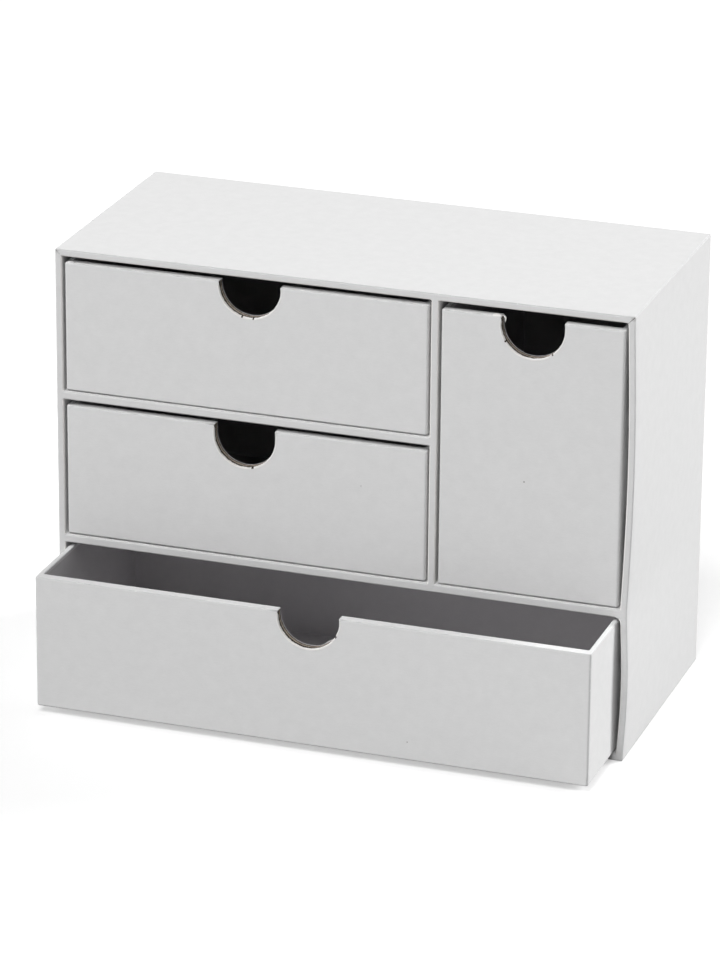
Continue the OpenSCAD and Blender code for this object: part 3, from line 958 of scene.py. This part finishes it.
# Front plies. Two sheets of greyboard glued together stiffen each front. In the notch their cut
# edges show: crushed back under the paper, torn into streaks, with a groove where the glue is.
def ragged(point, depth, front):
    """How far the cut edge of the board lies behind the notch's line, at a depth from the front.
    The sum is made in millimetres, as its lengths are."""
    back = (depth - front) / mm
    crush = crush_depth * min(max((crush_end - back) / crush_fade, 0), 1)
    place = point.place / mm
    streak = noise.noise(Vector((place.x / streak_length, back / streak_ply, place.z / streak_length)))
    lump = noise.noise(Vector((place.x / lump_length, back / lump_ply + lump_shift, place.z / lump_length)))
    groove = groove_depth * math.exp(-((back - glue_depth / mm) / groove_width) ** 2)
    return (cut_recess + crush + streak_height * streak + lump_height * lump + groove) * mm


cut_recess = 0.17
crush_depth = 0.3
crush_end = 1.2
crush_fade = 0.6
streak_height = 0.14
streak_length = 1.1
streak_ply = 0.2
lump_height = 0.13
lump_length = 2.6
lump_ply = 1.4
lump_shift = 7
groove_depth = 0.25
groove_width = 0.15
ply_step = 0.14 * mm
for drawer, made in trays.items():
    front = made.low.y
    depths = [front + i * ply_step for i in range(math.ceil(front_wall / ply_step) + 2)]
    for part in ("front", "front_backing"):
        low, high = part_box(drawer + "_" + part + "_board")
        shape = bmesh.new()
        bmesh.ops.create_cube(shape, size=1)
        for vertex in shape.verts:
            vertex.co = [low[i] + (vertex.co[i] + 0.5) * (high[i] - low[i]) for i in range(3)]
        ply = add_object(drawer + "_" + part + "_greyboard", mesh_from(shape, part), greyboard)
        soften(ply, crushed)
        cutter = punch(made.line, [front - clear_behind] + depths,
                       lambda point, depth: ragged(point, depth, front))
        cut_out(ply, cutter)
        mark_points(ply.data, "depth", [vertex.co.y - front for vertex in ply.data.vertices])
        hand_over(ply, drawer, "greyboard", drawer + "_" + part + "_board")


# Loose fibres. The punch leaves a fuzz of torn fibres on the cut edges of the board.
def fibre_tree():
    """Geometry nodes that set curled fibres on a surface, at random places, lengths and tilts."""
    measures = [(name, "Float") for name in ("Per square metre", "Length", "Thickness", "Tilt")]
    tree, given = node_group("loose_fibres", *measures, ("Seed", "Int"), ("Finish", "Material"))
    spots = node(tree, "GeometryNodeDistributePointsOnFaces", {
        "Mesh": given["Geometry"], "Density": given["Per square metre"], "Seed": given["Seed"]})
    reach = node(tree, "ShaderNodeCombineXYZ", {"X": given["Thickness"], "Z": given["Length"]})
    bend = node(tree, "ShaderNodeVectorMath", {0: reach.outputs[0], 1: (0.0, 0.0, 0.6)},
                operation="MULTIPLY")
    curl = node(tree, "ShaderNodeCombineXYZ", {"X": given["Length"], "Z": given["Length"]})
    tip = node(tree, "ShaderNodeVectorMath", {0: curl.outputs[0], 1: (0.45, 0.0, 0.85)},
               operation="MULTIPLY")
    strand = node(tree, "GeometryNodeCurveQuadraticBezier", {
        "Resolution": 4, "Start": (0, 0, 0), "Middle": bend.outputs[0], "End": tip.outputs[0]})
    section = node(tree, "GeometryNodeCurvePrimitiveCircle", {"Resolution": 3, "Radius": given["Thickness"]})
    tube = node(tree, "GeometryNodeCurveToMesh", {
        "Curve": strand.outputs[0], "Profile Curve": section.outputs[0], "Fill Caps": True})
    low_tilt = calculated(tree, "MULTIPLY", given["Tilt"], -1.0)
    low_turn = node(tree, "ShaderNodeCombineXYZ", {"X": low_tilt, "Y": low_tilt, "Z": -math.pi})
    high_turn = node(tree, "ShaderNodeCombineXYZ", {"X": given["Tilt"], "Y": given["Tilt"], "Z": math.pi})
    turn = node(tree, "FunctionNodeRandomValue", {
        "Min": low_turn.outputs[0], "Max": high_turn.outputs[0], "Seed": given["Seed"]},
        data_type="FLOAT_VECTOR")
    loose_turn = node(tree, "FunctionNodeEulerToRotation", {0: turn.outputs[0]})
    stand = node(tree, "FunctionNodeRotateRotation", {
        "Rotation": spots.outputs["Rotation"], "Rotate By": loose_turn.outputs[0]}, rotation_space="LOCAL")
    scale = node(tree, "FunctionNodeRandomValue", {2: 0.35, 3: 1.0, "Seed": given["Seed"]},
                 data_type="FLOAT")
    fibres = node(tree, "GeometryNodeInstanceOnPoints", {
        "Points": spots.outputs["Points"], "Instance": tube.outputs[0], "Rotation": stand.outputs[0],
        "Scale": scale.outputs[1]})
    return close_group(tree, fibres.outputs[0], given["Finish"])


def fibre_material():
    """Paper pulp: single torn fibres, from brown to nearly white, matt."""
    made, tree = material("torn_pulp")
    place = node(tree, "ShaderNodeTexCoord").outputs["Object"]
    tone = node(tree, "ShaderNodeValToRGB", {"Fac": noisy(tree, place, 1 / (0.9 * mm), 2.0)})
    stops = tone.color_ramp.elements
    stops[0].position, stops[0].color = 0.4, linear("#5b4b40")
    stops[1].position, stops[1].color = 0.62, linear("#d2ccc4")
    surface = node(tree, "ShaderNodeBsdfPrincipled", {
        "Base Color": tone.outputs[0], "Roughness": 0.9, "IOR": 1.47})
    node(tree, "ShaderNodeOutputMaterial", {"Surface": surface.outputs[0]})
    return made


loose_fibres = fibre_tree()
torn_pulp = fibre_material()
fibre_root = 0.22 * mm
fuzz_front_gap = 0.3 * mm
fuzz_back_gap = 0.2 * mm
for number, (drawer, made) in enumerate(trays.items()):
    front = made.low.y
    cut = [point for point in made.line if point.place.z < made.high.z - tuck]
    depths = [front + paper + fuzz_front_gap, front + glue_depth, front + front_wall - paper - fuzz_back_gap]
    faces = []
    for near, far in zip(cut, cut[1:]):
        for start, end in zip(depths, depths[1:]):
            corners = [(near, start), (far, start), (far, end), (near, end)]
            places = [(at.place + at.way * fibre_root, depth) for at, depth in corners]
            faces.append([(place.x, depth, place.z) for place, depth in places])
    fuzz = add_object(drawer + "_notch_fibres", mesh_of(faces, "cut_edge"), torn_pulp)
    modifier = fuzz.modifiers.new("fibres", "NODES")
    modifier.node_group = loose_fibres
    set_inputs(modifier, {"Per square metre": 0.7 / mm ** 2, "Length": 0.8 * mm, "Thickness": 0.03 * mm,
                          "Tilt": 0.8, "Seed": number, "Finish": torn_pulp})
    settle(fuzz)
    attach(fuzz, drawer)
